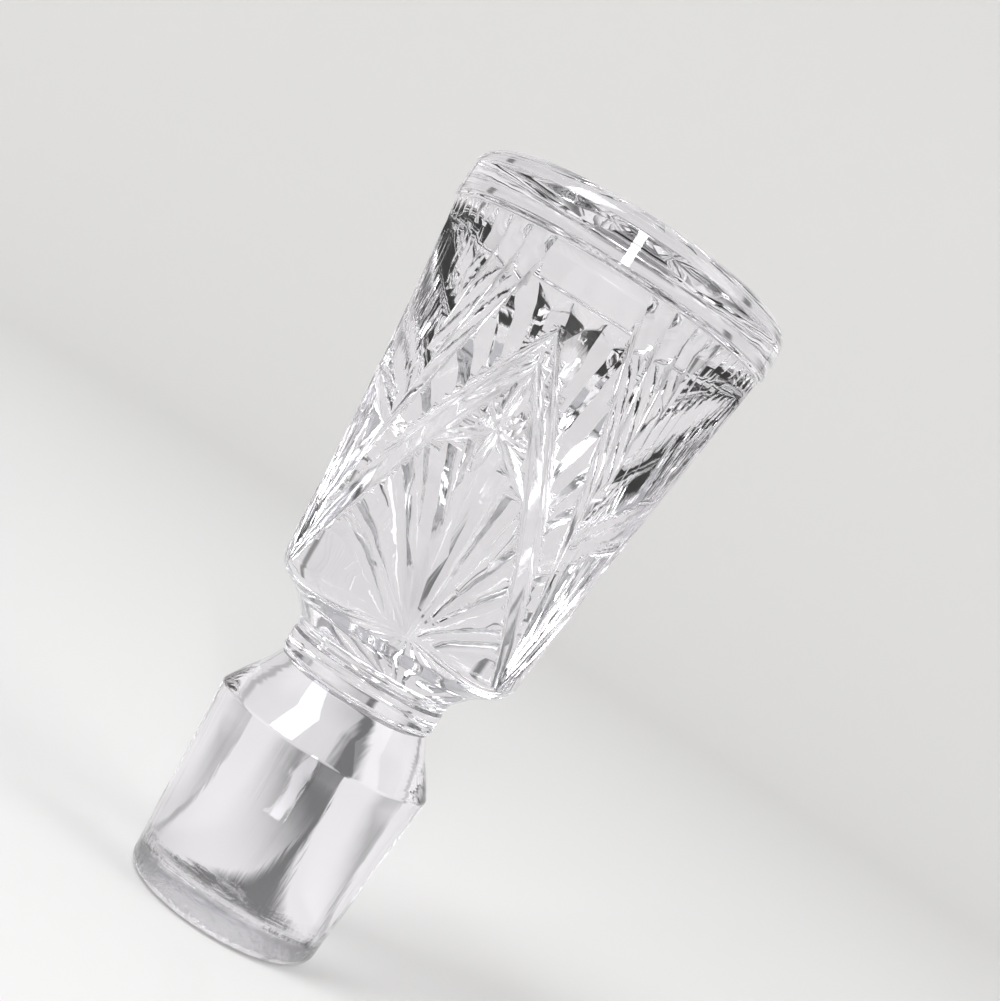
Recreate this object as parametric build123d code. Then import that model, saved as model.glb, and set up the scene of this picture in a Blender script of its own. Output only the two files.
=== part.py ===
from build123d import *
import math
import os

# Cut-crystal decanter stopper: one solid piece of glass, standing on its plug.
# Origin at the centre of the plug's flat bottom, +Z up through the head, millimetres.
# Azimuth 0 faces -Y and grows towards +X. Three panels of the head face azimuth 0, 120 and 240.

# Plug: a taper that is ground to sit in a decanter's neck
plug_height = 24.4
plug_shoulder_diameter = 28.9
plug_taper = 3.6
plug_edge_radius = 1.3

# Shoulder above the plug, hollowed a little, down to the neck
shoulder_height = 7.0
shoulder_hollow = 0.35
neck_diameter = 20.2

# Collar: a low band above the neck, with one fine groove round it
collar_height = 4.2
collar_proud = 0.45
collar_lip = 0.45
collar_groove_width = 0.9
collar_groove_depth = 0.22

# Head: a rounded underside, a flared cone hollowed a little, and a plain rim
underside_height = 4.7
underside_hollow = 0.5
head_foot_diameter = 32.7
head_foot_radius = 2.4
wall_height = 48.3
wall_top_diameter = 42.9
wall_hollow = 0.42
rim_height = 7.4
rim_proud = 0.45
rim_edge_radius = 3.4

# Cuts: grooves of V section, as a mitre wheel leaves them. The three corners were set out
# by eye, so they aren't quite even, and the arches and stars lean a little to one side.
corner_azimuths = (62.0, 182.0, 298.0)
panel_lean = -2.0
mitre_angle = 112.0
cut_overshoot = 0.6
path_steps = 8

# Fans: rays that spread from a point low on each corner to the rim. Each side of a fan has
# its rays at these azimuths from the corner; the long ones start at the foot, and the short
# ones start higher up, between them. All run out just under the rim.
fan_foot_rise = 0.5
fan_top_drop = 0.4
long_ray_turns = (5.0, 20.5, 36.0)
short_ray_turns = (0.0, 10.0, 15.0, 27.5, 45.5)
short_ray_rise = 13.0
fan_foot_width = 0.35
fan_foot_turn = 0.016
long_ray_width = 2.3
short_ray_width = 2.1
ray_middle_share = 0.75
ray_run_out = 2.5

# Arches: an inner and an outer pair of mitres that rise from the corners over each panel
arch_foot_rise = 1.1
inner_arch_drop = 13.2
inner_arch_width = 2.0
inner_arch_foot_turn = 4.5
outer_arch_drop = 9.2
outer_arch_width = 1.1
outer_arch_foot_turn = 1.5
arch_full_share = 0.3
arch_point_share = 0.35

# Star: eight leaf-shaped cuts under the point of the inner arch
star_drop = 8.5
star_leaf_width = 1.35
star_up_length = 7.0
star_down_length = 5.6
star_side_length = 3.9
star_upper_length = 3.2
star_upper_angle = 48.0
star_lower_length = 8.6
star_lower_angle = 38.0
leaf_full_share = 0.35
leaf_root_width = 0.4
leaf_tip_width = 0.1

# Rosette: leaf-shaped cuts in the flat top
rosette_leaf_count = 6
rosette_reach = 14.5
rosette_leaf_width = 5.2

# Heights above the base, and radii, that follow from these sizes
collar_foot = plug_height + shoulder_height
collar_top = collar_foot + collar_height
wall_foot = collar_top + underside_height
wall_top = wall_foot + wall_height
total_height = wall_top + rim_height
inner_arch_point = wall_top - inner_arch_drop
outer_arch_point = wall_top - outer_arch_drop
star_middle = inner_arch_point - star_drop
foot_radius = head_foot_diameter / 2
top_radius = wall_top_diameter / 2
half_mitre = math.radians(mitre_angle / 2)


def wall_radius(height):
    """Radius of the head's cone before it is cut; the hollow is deepest halfway up."""
    share = (height - wall_foot) / wall_height
    straight = foot_radius + (top_radius - foot_radius) * share
    return straight - 4 * wall_hollow * share * (1 - share)


def blank():
    """The turned shape: one closed outline, spun about the axis."""
    shoulder = plug_shoulder_diameter / 2
    plug_foot = shoulder - plug_taper / 2
    neck = neck_diameter / 2
    collar = neck + collar_proud
    rim = top_radius + rim_proud
    shoulder_middle = (
        (shoulder + neck) / 2 - shoulder_hollow,
        plug_height + shoulder_height / 2 - shoulder_hollow,
    )
    groove_top = collar_top - collar_lip
    groove_middle = groove_top - collar_groove_width / 2
    groove_foot = groove_top - collar_groove_width
    underside_middle = (
        (collar + foot_radius) / 2 - underside_hollow,
        collar_top + underside_height / 2 + underside_hollow,
    )
    wall_middle = wall_foot + wall_height / 2
    with BuildSketch(Plane.XZ) as outline:
        with BuildLine():
            Polyline((0, 0), (plug_foot, 0), (shoulder, plug_height))
            ThreePointArc((shoulder, plug_height), shoulder_middle, (neck, collar_foot))
            Polyline(
                (neck, collar_foot),
                (collar, collar_foot + collar_lip),
                (collar, groove_foot),
                (collar - collar_groove_depth, groove_middle),
                (collar, groove_top),
                (collar, collar_top),
            )
            ThreePointArc((collar, collar_top), underside_middle, (foot_radius, wall_foot))
            ThreePointArc(
                (foot_radius, wall_foot),
                (wall_radius(wall_middle), wall_middle),
                (top_radius, wall_top),
            )
            Polyline(
                (top_radius, wall_top),
                (rim, wall_top + rim_proud),
                (rim, total_height),
                (0, total_height),
                (0, 0),
            )
        make_face()
        fillet(nearest(outline.vertices(), plug_foot, 0), plug_edge_radius)
        fillet(nearest(outline.vertices(), foot_radius, wall_foot), head_foot_radius)
        fillet(nearest(outline.vertices(), rim, total_height), rim_edge_radius)
    return revolve(outline.sketch, Axis.Z).solid()


def nearest(corners, radius, height):
    """The outline's corner at this radius and height."""
    return min(corners, key=lambda corner: math.hypot(corner.X - radius, corner.Y - height))


def on_wall(azimuth, height):
    """A point of the head's cone and the way out of the glass there."""
    turn = math.radians(azimuth)
    out = Vector(math.sin(turn), -math.cos(turn), 0)
    return out * wall_radius(height) + Vector(0, 0, height), out


def mitre(places, widths):
    """A V-shaped cutter along points of the surface, as wide there as each width."""
    sections = []
    for index, (point, out) in enumerate(places):
        before = places[max(index - 1, 0)][0]
        after = places[min(index + 1, len(places) - 1)][0]
        across = (after - before).cross(out).normalized()
        depth = widths[index] / 2 / math.tan(half_mitre)
        side = across * ((depth + cut_overshoot) * math.tan(half_mitre))
        crest = point + out * cut_overshoot
        sections.append(Wire.make_polygon([point - out * depth, crest + side, crest - side]))
    return Solid.make_loft(sections, ruled=True)


def line_on_wall(start, end, stops):
    """A mitre between two (azimuth, height) places of the cone. Its stops are (share, width)."""
    shares = sorted(set(even_shares()) | {share for share, _ in stops})
    places = []
    widths = []
    for share in shares:
        azimuth = start[0] + (end[0] - start[0]) * share
        height = start[1] + (end[1] - start[1]) * share
        places.append(on_wall(azimuth, height))
        widths.append(width_at(share, stops))
    return mitre(places, widths)


def even_shares():
    """Equal steps along a cut, as shares of its length."""
    return [step / path_steps for step in range(path_steps + 1)]


def width_at(share, stops):
    """The width between two stops, in proportion."""
    for (low, low_width), (high, high_width) in zip(stops, stops[1:]):
        if share <= high:
            return low_width + (high_width - low_width) * (share - low) / (high - low)
    return stops[-1][1]


def both_sides(turns):
    """The turns and their mirror images, each once."""
    return sorted({side * turn for turn in turns for side in (-1, 1)})


def ray(corner, turn, rise, foot_width, width):
    """One ray of a fan, from this rise above the wall's foot to its run-out under the rim."""
    top = wall_top - fan_top_drop
    share = rise / (top - wall_foot)
    foot = (corner + turn * (fan_foot_turn + share * (1 - fan_foot_turn)), wall_foot + rise)
    full = 1 - ray_run_out / (top - foot[1])
    stops = [(0, foot_width), (full / 2, width * ray_middle_share), (full, width), (1, leaf_tip_width)]
    return line_on_wall(foot, (corner + turn, top), stops)


def fan(corner):
    """The rays of one fan, about the corner at this azimuth."""
    rays = []
    for turn in both_sides(long_ray_turns):
        rays.append(ray(corner, turn, fan_foot_rise, fan_foot_width, long_ray_width))
    for turn in both_sides(short_ray_turns):
        rays.append(ray(corner, turn, short_ray_rise, leaf_tip_width, short_ray_width))
    return rays


def arch(left, right, point, height, foot_turn, width):
    """Two mitres from the corners on both sides that meet, narrower again, over a panel."""
    stops = [(0, fan_foot_width), (arch_full_share, width)]
    stops += [(1 - arch_full_share, width), (1, width * arch_point_share)]
    limbs = []
    for foot in (left + foot_turn, right - foot_turn):
        start = (foot, wall_foot + arch_foot_rise)
        limbs.append(line_on_wall(start, (point, height), stops))
    return limbs


def star(panel):
    """Eight leaves about one centre; each is given by its direction and length."""
    leaves = [
        (90, star_up_length),
        (-90, star_down_length),
        (0, star_side_length),
        (180, star_side_length),
        (star_upper_angle, star_upper_length),
        (180 - star_upper_angle, star_upper_length),
        (-star_lower_angle, star_lower_length),
        (180 + star_lower_angle, star_lower_length),
    ]
    stops = [(0, leaf_root_width), (leaf_full_share, star_leaf_width)]
    stops += [(1 - leaf_full_share, star_leaf_width), (1, leaf_tip_width)]
    radius = wall_radius(star_middle)
    cutters = []
    for direction, length in leaves:
        sideways = math.degrees(length * math.cos(math.radians(direction)) / radius)
        tip = (panel + sideways, star_middle + length * math.sin(math.radians(direction)))
        cutters.append(line_on_wall((panel, star_middle), tip, stops))
    return cutters


def rosette():
    """Leaves that meet at the middle of the flat top."""
    stops = [(0, leaf_root_width), (leaf_full_share, rosette_leaf_width), (1, leaf_tip_width)]
    leaves = []
    out = Vector(0, 0, 1)
    for index in range(rosette_leaf_count):
        turn = math.radians((index + 0.5) * 360 / rosette_leaf_count)
        along = Vector(math.sin(turn), -math.cos(turn), 0)
        places = [(along * (rosette_reach * share) + out * total_height, out) for share in even_shares()]
        leaves.append(mitre(places, [width_at(share, stops) for share in even_shares()]))
    return leaves


def stopper():
    """The blank with every cut made in it."""
    glass = blank()
    cutters = rosette()
    for index, right in enumerate(corner_azimuths):
        left = corner_azimuths[index - 1] - (360 if index == 0 else 0)
        panel = (left + right) / 2 + panel_lean
        cutters += fan(right)
        cutters += arch(left, right, panel, inner_arch_point, inner_arch_foot_turn, inner_arch_width)
        cutters += arch(left, right, panel, outer_arch_point, outer_arch_foot_turn, outer_arch_width)
        cutters += star(panel)
    for cutter in cutters:
        glass = glass.cut(cutter)
    return glass


os.makedirs("parts", exist_ok=True)
piece = stopper()
piece.label = "stopper"
export_step(piece, "parts/stopper.step")
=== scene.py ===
import math
import bmesh
import bpy
import numpy as np
from mathutils import Matrix, Vector


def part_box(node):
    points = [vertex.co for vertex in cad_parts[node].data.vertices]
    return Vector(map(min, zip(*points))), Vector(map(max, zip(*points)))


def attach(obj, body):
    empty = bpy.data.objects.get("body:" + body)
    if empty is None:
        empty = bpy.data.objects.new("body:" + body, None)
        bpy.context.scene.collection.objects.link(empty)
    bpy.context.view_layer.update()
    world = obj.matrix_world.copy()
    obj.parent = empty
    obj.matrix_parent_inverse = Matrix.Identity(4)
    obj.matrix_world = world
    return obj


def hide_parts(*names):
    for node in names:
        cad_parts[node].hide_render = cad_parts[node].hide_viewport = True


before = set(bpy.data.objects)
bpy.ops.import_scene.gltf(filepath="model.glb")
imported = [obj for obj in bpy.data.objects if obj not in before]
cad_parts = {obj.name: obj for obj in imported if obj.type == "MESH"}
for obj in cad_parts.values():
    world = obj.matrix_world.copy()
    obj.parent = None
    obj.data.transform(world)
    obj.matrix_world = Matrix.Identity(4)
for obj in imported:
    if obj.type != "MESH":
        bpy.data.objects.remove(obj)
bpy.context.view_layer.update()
mm = 0.001
boxLow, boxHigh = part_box("stopper")
baseHeight = boxLow[2] / mm
fullHeight = boxHigh[2] / mm
rimRadius = (boxHigh[0] - boxLow[0]) / 2 / mm

# Millimetres and degrees. Azimuth 0 faces -Y and grows towards +X.
# A shoulder hollow or an underside is (radius, height, rounding) of one corner of the outline.
blankSizes = {
    "plugHeight": 24.4,
    "shoulderRadius": 14.45,
    "shoulderRound": 0.22,
    "shoulderHollows": ((13.0, 26.72, 1.2), (11.35, 28.95, 1.2)),
    "plugTaper": 1.8,
    "plugEdge": 1.5,
    "neckRadius": 10.1,
    "neckRound": 0.3,
    "collarFoot": 31.4,
    "collarTop": 35.6,
    "collarProud": 0.45,
    "collarLip": 0.45,
    "collarRound": 0.2,
    "grooveDepth": 0.22,
    "grooveRound": 0.12,
    "underside": ((10.6, 35.85, 0.5), (12.7, 38.25, 0.6)),
    "wallFoot": 40.3,
    "footRadius": 16.35,
    "footRound": 1.5,
    "wallTop": 88.6,
    "wallTopRadius": 21.45,
    "wallHollow": 0.42,
    "rimStep": 0.5,
    "rimStepRound": 0.25,
    "rimRound": 3.2,
    "largeRound": 1.3,
    "largeSegments": 10,
    "smallSegments": 7,
    "columns": 360,
    "rowHeight": 1.6,
    "wallMargin": 0.3,
    "mergeGap": 0.0005,
}


def wallRadius(height):
    b = blankSizes
    share = (height - b["wallFoot"]) / (b["wallTop"] - b["wallFoot"])
    straight = b["footRadius"] + (b["wallTopRadius"] - b["footRadius"]) * share
    return straight - 4 * b["wallHollow"] * share * (1 - share)


def outlineBmesh():
    # The turned outline as one open chain of edges, with its corners rounded
    b = blankSizes
    collar = b["neckRadius"] + b["collarProud"]
    lip = b["collarLip"]
    corners = [
        (0, baseHeight, 0),
        (b["shoulderRadius"] - b["plugTaper"], baseHeight, b["plugEdge"]),
        (b["shoulderRadius"], b["plugHeight"], b["shoulderRound"]),
        *b["shoulderHollows"],
        (b["neckRadius"], b["collarFoot"], b["neckRound"]),
        (collar, b["collarFoot"] + lip, b["collarRound"]),
        (collar, b["collarTop"] - 3 * lip, b["grooveRound"]),
        (collar - b["grooveDepth"], b["collarTop"] - 2 * lip, b["grooveRound"]),
        (collar, b["collarTop"] - lip, b["grooveRound"]),
        *b["underside"],
        (b["footRadius"], b["wallFoot"], b["footRound"]),
        (b["wallTopRadius"], b["wallTop"], b["rimStepRound"]),
        (rimRadius, b["wallTop"] + b["rimStep"], b["rimStepRound"]),
        (rimRadius, fullHeight, b["rimRound"]),
        (0, fullHeight, 0),
    ]
    bm = bmesh.new()
    verts = [bm.verts.new((radius * mm, 0, height * mm)) for radius, height, _ in corners]
    for first, second in zip(verts, verts[1:]):
        bm.edges.new((first, second))
    for (_, _, rounding), vert in zip(corners, verts):
        if rounding:
            segments = b["largeSegments"] if rounding > b["largeRound"] else b["smallSegments"]
            bmesh.ops.bevel(bm, geom=[vert], offset=rounding * mm, offset_type="OFFSET",
                            segments=segments, profile=0.5, affect="VERTICES", material=-1)
    for edge in list(bm.edges):
        low, high = sorted(v.co.z / mm for v in edge.verts)
        rows = round((high - low) / b["rowHeight"])
        if rows > 1:
            bmesh.ops.subdivide_edges(bm, edges=[edge], cuts=rows - 1)
    for v in bm.verts:
        height = v.co.z / mm
        if b["wallFoot"] + b["footRound"] < height < b["wallTop"] - b["wallMargin"]:
            v.co.x = wallRadius(height) * mm
    print("outline: corners", len(corners), "points", len(bm.verts))
    return bm


def asObject(bm, name):
    mesh = bpy.data.meshes.new(name)
    bm.to_mesh(mesh)
    bm.free()
    made = bpy.data.objects.new(name, mesh)
    bpy.context.scene.collection.objects.link(made)
    return made


def makeBlank():
    # The outline spun about the axis
    bm = outlineBmesh()
    bmesh.ops.spin(bm, geom=bm.verts[:] + bm.edges[:], cent=(0, 0, 0), axis=(0, 0, 1),
                   angle=math.tau, steps=blankSizes["columns"], use_merge=True)
    bmesh.ops.remove_doubles(bm, verts=bm.verts, dist=blankSizes["mergeGap"] * mm)
    bmesh.ops.recalc_face_normals(bm, faces=bm.faces)
    return asObject(bm, "stopper_glass")


# Every cut is a mitre: a groove of V section. The sharp angle keeps a cut's edges crisp
mitreSizes = {
    "halfAngle": 56.0,
    "overshoot": 0.6,
    "steps": 14,
    "leafPower": 0.8,
    "sharpAngle": 45.0,
}


def onWall(azimuth, height):
    # A point of the cone and the way out of the glass there
    turn = math.radians(azimuth)
    out = Vector((math.sin(turn), -math.cos(turn), 0))
    return out * wallRadius(height) + Vector((0, 0, height)), out


def wallPlaces(start, end):
    steps = mitreSizes["steps"]
    return [onWall(start[0] + (end[0] - start[0]) * n / steps,
                   start[1] + (end[1] - start[1]) * n / steps)
            for n in range(steps + 1)]


def mitreCutter(places, widths, finish):
    # What a V-edged wheel takes away: a triangle pushed along the places, each width wide there
    slope = math.tan(math.radians(mitreSizes["halfAngle"]))
    frames = []
    for index, (point, out) in enumerate(places):
        along = places[min(index + 1, len(places) - 1)][0] - places[max(index - 1, 0)][0]
        across = along.cross(out).normalized()
        depth = widths[index] / 2 / slope
        size = depth + mitreSizes["overshoot"]
        axes = Matrix((across, out.cross(across), out)).transposed().to_4x4()
        root = Matrix.Translation((point - out * depth) * mm)
        frames.append(root @ axes @ Matrix.Scale(size * mm, 4))
    bm = bmesh.new()
    face = bm.faces.new([bm.verts.new(frames[0] @ Vector(corner))
                         for corner in ((0, 0, 0), (slope, 0, 1), (-slope, 0, 1))])
    inner = []
    for before, after in zip(frames, frames[1:]):
        made = bmesh.ops.extrude_face_region(bm, geom=[face])["geom"]
        inner.append(face)
        face = next(g for g in made if isinstance(g, bmesh.types.BMFace))
        bmesh.ops.transform(bm, matrix=after @ before.inverted(), verts=face.verts)
    bmesh.ops.delete(bm, geom=inner[1:], context="FACES_ONLY")
    bmesh.ops.recalc_face_normals(bm, faces=bm.faces)
    cutter = asObject(bm, "mitre")
    cutter.data.materials.append(finish)
    return cutter


def leafWidths(root, full, tip):
    # A leaf swells and closes in one smooth curve
    steps = mitreSizes["steps"]
    ends = [root + (tip - root) * n / steps for n in range(steps + 1)]
    return [end + (full - end) * math.sin(math.pi * n / steps) ** mitreSizes["leafPower"]
            for n, end in enumerate(ends)]


# Fans of rays that spread from low on each corner. Long ones start at the foot, short ones
# start higher up between them, and all run out just under the rim. Turns are from the corner.
fanSizes = {
    "corners": (62.0, 182.0, 298.0),
    "foot": 40.8,
    "shortFoot": 53.3,
    "top": 88.2,
    "longTurns": (5.0, 20.5, 36.0),
    "shortTurns": (0.0, 10.0, 15.0, 27.5, 45.5),
    "footShare": 0.016,
    "footWidth": 0.35,
    "longWidth": 2.3,
    "shortWidth": 2.1,
    "tipWidth": 0.1,
    "middleShare": 0.75,
    "runOut": 2.5,
}


def bothSides(turns):
    return sorted({side * turn for turn in turns for side in (-1, 1)})


def fanCutters(finish):
    f = fanSizes
    steps = mitreSizes["steps"]
    longRays = (f["longTurns"], f["foot"], f["footWidth"], f["longWidth"])
    shortRays = (f["shortTurns"], f["shortFoot"], f["tipWidth"], f["shortWidth"])
    cutters = []
    for turns, foot, footWidth, width in (longRays, shortRays):
        rise = (foot - f["foot"]) / (f["top"] - f["foot"])
        spread = f["footShare"] + (1 - f["footShare"]) * rise
        full = 1 - f["runOut"] / (f["top"] - foot)
        shares = [full * n / (steps - 2) for n in range(steps - 1)] + [(1 + full) / 2, 1]
        widths = np.interp(shares, (0, full / 2, full, 1),
                           (footWidth, width * f["middleShare"], width, f["tipWidth"]))
        for corner in f["corners"]:
            for turn in bothSides(turns):
                places = [onWall(corner + turn * (spread + (1 - spread) * share),
                                 foot + (f["top"] - foot) * share) for share in shares]
                cutters.append(mitreCutter(places, widths, finish))
    print("fans: rays", len(cutters))
    return cutters


# Between two corners: an inner and an outer arch that lean a little, and a star under them
archSizes = {
    "lean": -2.0,
    "foot": 41.4,
    "footWidth": 0.35,
    "inner": (75.4, 2.0, 4.5),  # height of the point, width, turn of the foot from its corner
    "outer": (79.4, 1.1, 1.5),
    "fullShare": 0.3,
    "pointShare": 0.35,
}
starSizes = {
    "height": 66.9,
    "leafWidth": 1.35,
    "rootWidth": 0.4,
    "tipWidth": 0.1,
    "leaves": ((90, 7.0), (-90, 5.6), (0, 3.9), (180, 3.9),  # direction and length
               (48, 3.2), (132, 3.2), (-38, 8.6), (218, 8.6)),
}


def panelCutters(finish):
    a, s = archSizes, starSizes
    corners = fanSizes["corners"]
    shares = [n / mitreSizes["steps"] for n in range(mitreSizes["steps"] + 1)]
    cutters = []
    for index, right in enumerate(corners):
        left = corners[index - 1] - (360 if index == 0 else 0)
        panel = (left + right) / 2 + a["lean"]
        for point, width, footTurn in (a["inner"], a["outer"]):
            widths = np.interp(shares, (0, a["fullShare"], 1 - a["fullShare"], 1),
                               (a["footWidth"], width, width, width * a["pointShare"]))
            for foot in (left + footTurn, right - footTurn):
                places = wallPlaces((foot, a["foot"]), (panel, point))
                cutters.append(mitreCutter(places, widths, finish))
        widths = leafWidths(s["rootWidth"], s["leafWidth"], s["tipWidth"])
        for direction, length in s["leaves"]:
            turn = math.radians(direction)
            across = math.degrees(length * math.cos(turn) / wallRadius(s["height"]))
            tip = (panel + across, s["height"] + length * math.sin(turn))
            places = wallPlaces((panel, s["height"]), tip)
            cutters.append(mitreCutter(places, widths, finish))
    print("arches and stars: cuts", len(cutters))
    return cutters


# Leaves that meet at the middle of the flat top
rosetteSizes = {
    "leaves": 6,
    "reach": 14.5,
    "rootWidth": 0.4,
    "leafWidth": 5.2,
    "tipWidth": 0.1,
}


def rosetteCutters(finish):
    r = rosetteSizes
    out = Vector((0, 0, 1))
    widths = leafWidths(r["rootWidth"], r["leafWidth"], r["tipWidth"])
    cutters = []
    for index in range(r["leaves"]):
        turn = math.radians((index + 0.5) * 360 / r["leaves"])
        along = Vector((math.sin(turn), -math.cos(turn), 0)) * r["reach"] / mitreSizes["steps"]
        places = [(along * n + out * fullHeight, out) for n in range(mitreSizes["steps"] + 1)]
        cutters.append(mitreCutter(places, widths, finish))
    print("rosette: leaves", len(cutters))
    return cutters


def makeGlass(polished, rays, lines):
    # The blank with every cut made in it; a cut face takes its cutter's finish
    glass = makeBlank()
    glass.data.materials.append(polished)
    cutters = fanCutters(rays) + panelCutters(lines) + rosetteCutters(polished)
    for cutter in cutters:
        mitre = glass.modifiers.new("mitre", "BOOLEAN")
        mitre.object = cutter
        mitre.operation = "DIFFERENCE"
        mitre.solver = "MANIFOLD"
        mitre.material_mode = "TRANSFER"
    seen = glass.evaluated_get(bpy.context.evaluated_depsgraph_get())
    mesh = bpy.data.meshes.new_from_object(seen)
    glass.modifiers.clear()
    glass.data = mesh
    for cutter in cutters:
        bpy.data.objects.remove(cutter)
    mesh.polygons.foreach_set("use_smooth", [True] * len(mesh.polygons))
    mesh.set_sharp_from_angle(angle=math.radians(mitreSizes["sharpAngle"]))
    print("glass: cuts", len(cutters), "faces", len(mesh.polygons),
          "triangles", sum(len(p.vertices) - 2 for p in mesh.polygons))
    return glass


def linear(hexColour):
    # sRGB hex to linear, with full alpha
    values = [int(hexColour[i:i + 2], 16) / 255 for i in (1, 3, 5)]
    return [v / 12.92 if v <= 0.04045 else ((v + 0.055) / 1.055) ** 2.4 for v in values] + [1]


def node(tree, kind, settings=None, links=None):
    # A number as a name is the place of an input that shares its name with others
    made = tree.nodes.new(kind)
    for name, value in (settings or {}).items():
        if isinstance(name, str) and name not in made.inputs:
            setattr(made, name, value)
        else:
            made.inputs[name].default_value = value
    for name, socket in (links or {}).items():
        tree.links.new(socket, made.inputs[name])
    return made


def newMaterial(name):
    material = bpy.data.materials.new(name)
    material.use_nodes = True
    material.node_tree.nodes.clear()
    return material, material.node_tree


# Lead crystal, pressed and then cut and fire polished: water clear, with a faint lilac tone in
# its depth, and slow waves in its skin. The plug is ground and polished, which leaves faint
# upright streaks, and its bottom edge stays matt where it was ground flat. Wheel cuts have a
# grain along them and are a little less bright, the arches and stars most of all. The grain and
# the matt mottling are finer on real glass: they are drawn as coarse as they need to show.
# Sizes and depths are in millimetres.
crystalSettings = {
    "colour": "#FCFAFE",
    "ior": 1.545,
    "bounces": 24,  # glass seen through glass needs many
    "wave": 9.0,
    "waveDetail": 2.0,
    "waveDepth": 0.06,
    "streak": 1.4,
    "streakDetail": 3.0,
    "streakStretch": 0.03,
    "streakDepth": 0.05,
    "plugTop": 24.2,
    "plugFade": 0.6,
    "groundHeight": 4.6,
    "groundEdge": 1.8,
    "groundGrain": 1.1,
    "groundDetail": 4.0,
    "groundDepth": 0.28,
    "groundRoughness": 0.24,
    "grain": 0.5,
    "grainDetail": 2.0,
    "grainStretch": 0.06,
    "grainDepth": 0.006,
    "rayRoughness": 0.04,
    "lineRoughness": 0.13,
}


def leadCrystal():
    c = crystalSettings
    material, tree = newMaterial("leadCrystal")
    place = node(tree, "ShaderNodeTexCoord").outputs["Object"]
    height = node(tree, "ShaderNodeSeparateXYZ", None, {"Vector": place}).outputs["Z"]
    wave = node(tree, "ShaderNodeTexNoise",
                {"Scale": 1 / (c["wave"] * mm), "Detail": c["waveDetail"]}, {"Vector": place})
    waveBump = node(tree, "ShaderNodeBump", {"Distance": c["waveDepth"] * mm},
                    {"Height": wave.outputs["Fac"]})
    stretched = node(tree, "ShaderNodeMapping", {"Scale": (1, 1, c["streakStretch"])},
                     {"Vector": place})
    streak = node(tree, "ShaderNodeTexNoise",
                  {"Scale": 1 / (c["streak"] * mm), "Detail": c["streakDetail"]},
                  {"Vector": stretched.outputs["Vector"]})
    onPlug = node(tree, "ShaderNodeMapRange",
                  {"From Min": c["plugTop"] * mm, "From Max": (c["plugTop"] - c["plugFade"]) * mm},
                  {"Value": height})
    streakBump = node(tree, "ShaderNodeBump", {"Distance": c["streakDepth"] * mm},
                      {"Height": streak.outputs["Fac"], "Strength": onPlug.outputs["Result"],
                       "Normal": waveBump.outputs["Normal"]})
    grain = node(tree, "ShaderNodeTexNoise",
                 {"Scale": 1 / (c["groundGrain"] * mm), "Detail": c["groundDetail"]},
                 {"Vector": place})
    lift = node(tree, "ShaderNodeMath", {"operation": "MULTIPLY_ADD", 1: -c["groundEdge"] * mm},
                {0: grain.outputs["Fac"], 2: height})
    ground = node(tree, "ShaderNodeMapRange",
                  {"From Min": (c["groundHeight"] - c["groundEdge"]) * mm, "From Max": 0.0},
                  {"Value": lift.outputs["Value"]})
    groundBump = node(tree, "ShaderNodeBump", {"Distance": c["groundDepth"] * mm},
                      {"Height": grain.outputs["Fac"], "Strength": ground.outputs["Result"],
                       "Normal": streakBump.outputs["Normal"]})
    rough = node(tree, "ShaderNodeMath", {"operation": "MULTIPLY", 1: c["groundRoughness"]},
                 {0: ground.outputs["Result"]})
    shader = node(tree, "ShaderNodeBsdfPrincipled",
                  {"Base Color": linear(c["colour"]), "IOR": c["ior"], "Transmission Weight": 1.0},
                  {"Normal": groundBump.outputs["Normal"], "Roughness": rough.outputs["Value"]})
    node(tree, "ShaderNodeOutputMaterial", None, {"Surface": shader.outputs["BSDF"]})
    return material


def cutCrystal(name, roughness):
    # The same glass where a wheel has cut it
    c = crystalSettings
    material, tree = newMaterial(name)
    place = node(tree, "ShaderNodeTexCoord").outputs["Object"]
    stretched = node(tree, "ShaderNodeMapping", {"Scale": (1, 1, c["grainStretch"])},
                     {"Vector": place})
    grain = node(tree, "ShaderNodeTexNoise",
                 {"Scale": 1 / (c["grain"] * mm), "Detail": c["grainDetail"]},
                 {"Vector": stretched.outputs["Vector"]})
    bump = node(tree, "ShaderNodeBump", {"Distance": c["grainDepth"] * mm},
                {"Height": grain.outputs["Fac"]})
    shader = node(tree, "ShaderNodeBsdfPrincipled",
                  {"Base Color": linear(c["colour"]), "IOR": c["ior"], "Transmission Weight": 1.0,
                   "Roughness": c[roughness]},
                  {"Normal": bump.outputs["Normal"]})
    node(tree, "ShaderNodeOutputMaterial", None, {"Surface": shader.outputs["BSDF"]})
    return material


# Plain matt paper, in metres: pale, so that the glass stands clear of it
paperSettings = {
    "colour": "#E9E8E6",
    "roughness": 0.9,
    "height": -0.0001,
    "radius": 1.3,
    "wallTop": 0.75,
    "coveRadius": 0.5,
    "coveSegments": 24,
    "columns": 128,
    "mergeGap": 0.00001,
}


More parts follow.
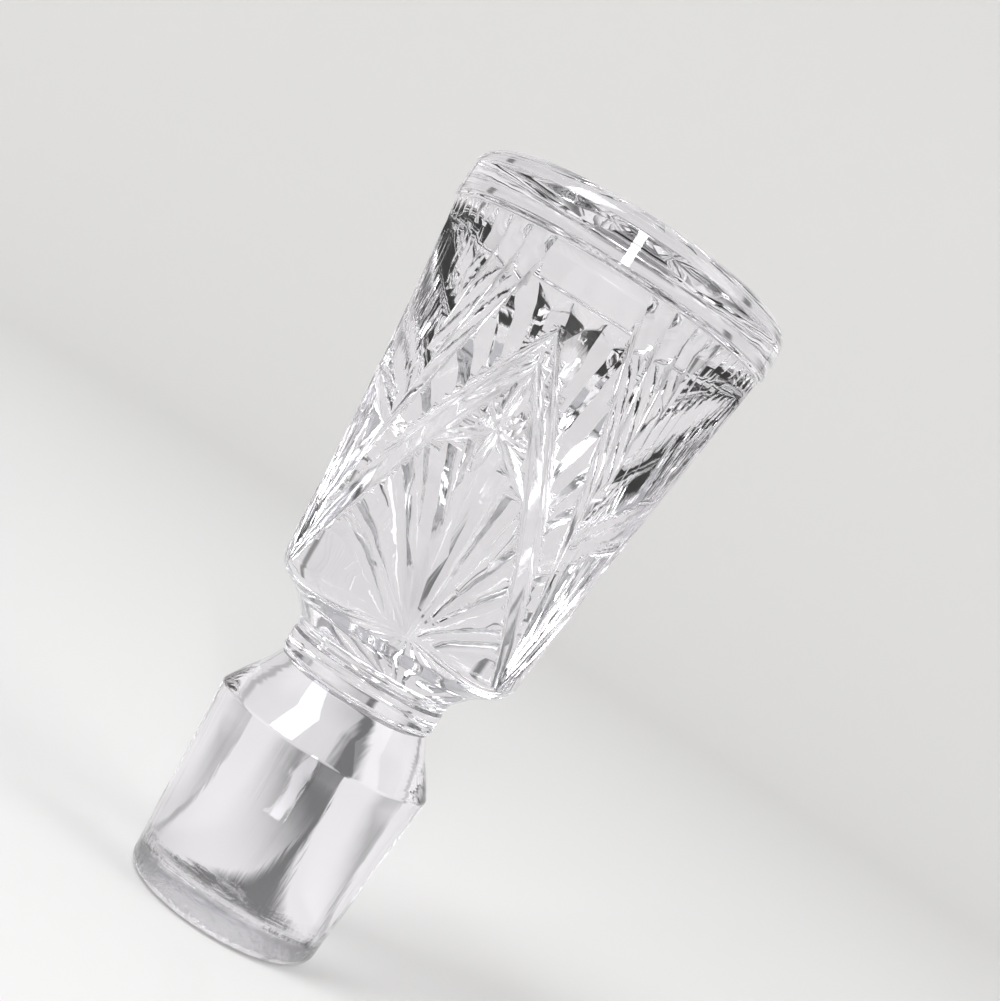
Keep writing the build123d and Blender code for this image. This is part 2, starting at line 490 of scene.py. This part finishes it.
def paperSweep():
    # A round floor that curves up at its edge: seamless pale paper from every side
    p = paperSettings
    bm = bmesh.new()
    points = [(0, p["height"]), (p["radius"], p["height"]), (p["radius"], p["wallTop"])]
    verts = [bm.verts.new((x, 0, z)) for x, z in points]
    for first, second in zip(verts, verts[1:]):
        bm.edges.new((first, second))
    bmesh.ops.bevel(bm, geom=[verts[1]], offset=p["coveRadius"], offset_type="OFFSET",
                    segments=p["coveSegments"], profile=0.5, affect="VERTICES", material=-1)
    bmesh.ops.spin(bm, geom=bm.verts[:] + bm.edges[:], cent=(0, 0, 0), axis=(0, 0, 1),
                   angle=math.tau, steps=p["columns"], use_merge=True)
    bmesh.ops.remove_doubles(bm, verts=bm.verts, dist=p["mergeGap"])
    bmesh.ops.recalc_face_normals(bm, faces=bm.faces)
    sweep = asObject(bm, "paper_sweep")
    sweep.data.polygons.foreach_set("use_smooth", [True] * len(sweep.data.polygons))
    material, tree = newMaterial("palePaper")
    shader = node(tree, "ShaderNodeBsdfPrincipled",
                  {"Base Color": linear(p["colour"]), "Roughness": p["roughness"]})
    node(tree, "ShaderNodeOutputMaterial", None, {"Surface": shader.outputs["BSDF"]})
    sweep.data.materials.append(material)
    print("sweep: faces", len(sweep.data.polygons))


# Black card, in metres, seen only in the glass: the upright cards give painted dark reflections,
# and the wedges lay painted shade on the floor around the foot. Upright cards are
# (azimuth, distance, half width, leak) and wedges are (azimuth, spread, leak); the leak is how
# much light a card lets through at its middle.
cardSettings = {
    # painted shade: the dark that only the glass shows
    "colour": "#1B1C1E",
    "core": 0.22,
    "end": 0.45,
    "height": 0.9,
    "upright": ((-108, 0.6, 0.25, 0.3), (104, 0.6, 0.25, 0.3),
                (-146, 0.62, 0.035, 0.25), (143, 0.62, 0.035, 0.25)),
    "wedgeReach": (0.018, 0.32),
    "wedgeLift": 0.0004,
    "wedges": ((182, 0.24, 0.15), (92, 0.24, 0.15), (272, 0.24, 0.15), (2, 0.24, 0.15),
               (148, 0.2, 0.6), (216, 0.2, 0.5)),
}


def softShadeCard(name, start, end, side, farSide, leak):
    # A dark card whose edges fade, hidden from the camera, from diffuse light and from shadows:
    # it gives clear glass its dark lines as painted dark reflections and painted shade that only
    # the glass shows
    bm = bmesh.new()
    layer = bm.loops.layers.uv.new("card")
    card = ((-1, 0, start, side), (1, 0, start, side), (1, 1, end, farSide), (-1, 1, end, farSide))
    face = bm.faces.new([bm.verts.new(place + reach * across) for across, _, place, reach in card])
    for loop, (across, along, _, _) in zip(face.loops, card):
        loop[layer].uv = (across, along)
    made = asObject(bm, name)
    material, tree = newMaterial("paintedShadeCard")
    place = node(tree, "ShaderNodeUVMap", {"uv_map": "card"})
    split = node(tree, "ShaderNodeSeparateXYZ", None, {"Vector": place.outputs["UV"]})
    away = node(tree, "ShaderNodeMath", {"operation": "ABSOLUTE"}, {0: split.outputs["X"]})
    fades = []
    for distance, setting in ((away.outputs["Value"], "core"), (split.outputs["Y"], "end")):
        fade = node(tree, "ShaderNodeMapRange",
                    {"interpolation_type": "SMOOTHSTEP", "From Min": cardSettings[setting],
                     "From Max": 1.0, "To Min": leak}, {"Value": distance})
        fades.append(fade.outputs["Result"])
    soft = node(tree, "ShaderNodeMath", {"operation": "MAXIMUM"}, {0: fades[0], 1: fades[1]})
    # The card's dark colour is painted shade and painted dark reflection, seen only through the
    # glass
    black = node(tree, "ShaderNodeBsdfDiffuse", {"Color": linear(cardSettings["colour"])})
    clear = node(tree, "ShaderNodeBsdfTransparent")
    mix = node(tree, "ShaderNodeMixShader", None,
               {0: soft.outputs["Value"], 1: black.outputs["BSDF"], 2: clear.outputs["BSDF"]})
    node(tree, "ShaderNodeOutputMaterial", None, {"Surface": mix.outputs["Shader"]})
    made.data.materials.append(material)
    made.visible_camera = False
    made.visible_diffuse = False
    made.visible_shadow = False


def outwards(azimuth):
    # The ways out from the axis and across
    turn = math.radians(azimuth)
    return Vector((math.sin(turn), -math.cos(turn), 0)), Vector((math.cos(turn), math.sin(turn), 0))


def cards():
    # Upright ones stand well away, and wedges lie on the floor around the foot: painted shade that
    # only the glass shows, which darkens the core of the plug
    s = cardSettings
    for index, (azimuth, distance, half, leak) in enumerate(s["upright"]):
        out, across = outwards(azimuth)
        foot = out * distance
        side = across * half
        head = foot + Vector((0, 0, s["height"]))
        softShadeCard(f"upright_card_{index}", foot, head, side, side, leak)
    near, far = s["wedgeReach"]
    lift = Vector((0, 0, s["wedgeLift"]))
    for index, (azimuth, spread, leak) in enumerate(s["wedges"]):
        out, across = outwards(azimuth)
        softShadeCard(f"floor_shade_wedge_{index}", out * near + lift, out * far + lift,
                 across * near * spread, across * far * spread, leak)
    print("cards: upright", len(s["upright"]), "wedges", len(s["wedges"]))


# Each lamp: name, place and target in metres, size, watts and colour. The window is a large
# soft one, the fill lifts the other side, and the strip puts one bright line on the glass.
lightSettings = {
    "lamps": (("window", (-0.7, -0.7, 1.2), (0, 0, 0.05), (0.6, 0.9), 11.5, "#FBFCFF"),
              ("fill", (0.9, -0.3, 0.9), (0, 0, 0.05), (0.55, 0.9), 3.0, "#FFFFFF"),
              ("strip", (0.06, -0.7, 0.28), (0, 0, 0.08), (0.08, 0.42), 1.8, "#FFFFFF")),
    "roomColour": "#F4F5F7",
    "roomStrength": 0.56,
}


def areaLamp(name, place, target, size, power, colour):
    lamp = bpy.data.lights.new(name, "AREA")
    lamp.shape = "RECTANGLE"
    lamp.size, lamp.size_y = size
    lamp.energy = power
    lamp.color = linear(colour)[:3]
    holder = bpy.data.objects.new(name, lamp)
    holder.location = place
    holder.rotation_euler = (Vector(target) - Vector(place)).to_track_quat("-Z", "Y").to_euler()
    holder.visible_camera = False
    bpy.context.scene.collection.objects.link(holder)


def lights():
    s = lightSettings
    for lamp in s["lamps"]:
        areaLamp(*lamp)
    world = bpy.data.worlds.new("softRoom")
    bpy.context.scene.world = world
    world.use_nodes = True
    tree = world.node_tree
    tree.nodes.clear()
    back = node(tree, "ShaderNodeBackground",
                {"Color": linear(s["roomColour"]), "Strength": s["roomStrength"]})
    node(tree, "ShaderNodeOutputWorld", None, {"Surface": back.outputs["Background"]})
    print("lights: lamps", len(s["lamps"]))


# Millimetres and degrees, but the near clip in metres
cameraSettings = {
    "sensor": 36,
    "lens": 61.2,
    "nearClip": 0.01,
    "place": (2.56, -207.6, 60.3),
    "turn": 3.7,
    "roll": 32.1,
}


def camera():
    # Level, close to the stopper, and rolled so that it leans across the picture
    c = cameraSettings
    lens = bpy.data.cameras.new("camera")
    lens.sensor_width = c["sensor"]
    lens.lens = c["lens"]
    lens.clip_start = c["nearClip"]
    holder = bpy.data.objects.new("camera", lens)
    look = Matrix(((1, 0, 0), (0, 0, -1), (0, 1, 0))).to_4x4()
    turn = Matrix.Rotation(math.radians(c["turn"]), 4, "Z")
    place = Matrix.Translation(Vector(c["place"]) * mm)
    roll = Matrix.Rotation(math.radians(c["roll"]), 4, "Z")
    holder.matrix_world = turn @ place @ look @ roll
    bpy.context.scene.collection.objects.link(holder)
    bpy.context.scene.camera = holder
    print("camera: lens", c["lens"])


camera()
glass = makeGlass(leadCrystal(), cutCrystal("cutCrystalRays", "rayRoughness"),
                  cutCrystal("cutCrystalLines", "lineRoughness"))
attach(glass, "root")
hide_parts("stopper")
paperSweep()
cards()
lights()
scene = bpy.context.scene
scene.cycles.max_bounces = crystalSettings["bounces"]
scene.cycles.transmission_bounces = crystalSettings["bounces"]
scene.view_settings.view_transform = "Standard"
